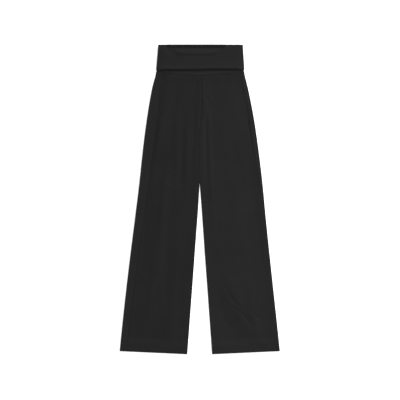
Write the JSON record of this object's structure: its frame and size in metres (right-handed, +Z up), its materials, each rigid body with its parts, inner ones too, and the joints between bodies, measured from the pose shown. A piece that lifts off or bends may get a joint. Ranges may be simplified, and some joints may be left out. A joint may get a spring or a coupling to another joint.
{
  "type": "wide-leg trousers with fold-over waistband",
  "caption": "Pull-on wide-leg jersey trousers with a deep turned-over waistband, lying flat with the front facing up.",
  "frame": {"origin": "middle of the underside, on the surface that the trousers lie on", "axes": "+Y towards the waist, +Z up out of the front of the trousers, +X towards the wearer's left leg"},
  "size_m": [0.5696, 1.1001, 0.0112],
  "materials": {
    "black_jersey": "soft matte black fine-gauge jersey knit with a slight sheen at low angles"
  },
  "bodies": {
    "root": {"front_right_leg": "black_jersey", "front_left_leg": "black_jersey", "back_right_leg": "black_jersey", "back_left_leg": "black_jersey", "waistband_front": "black_jersey", "waistband_back": "black_jersey"}
  },
  "joints": []
}
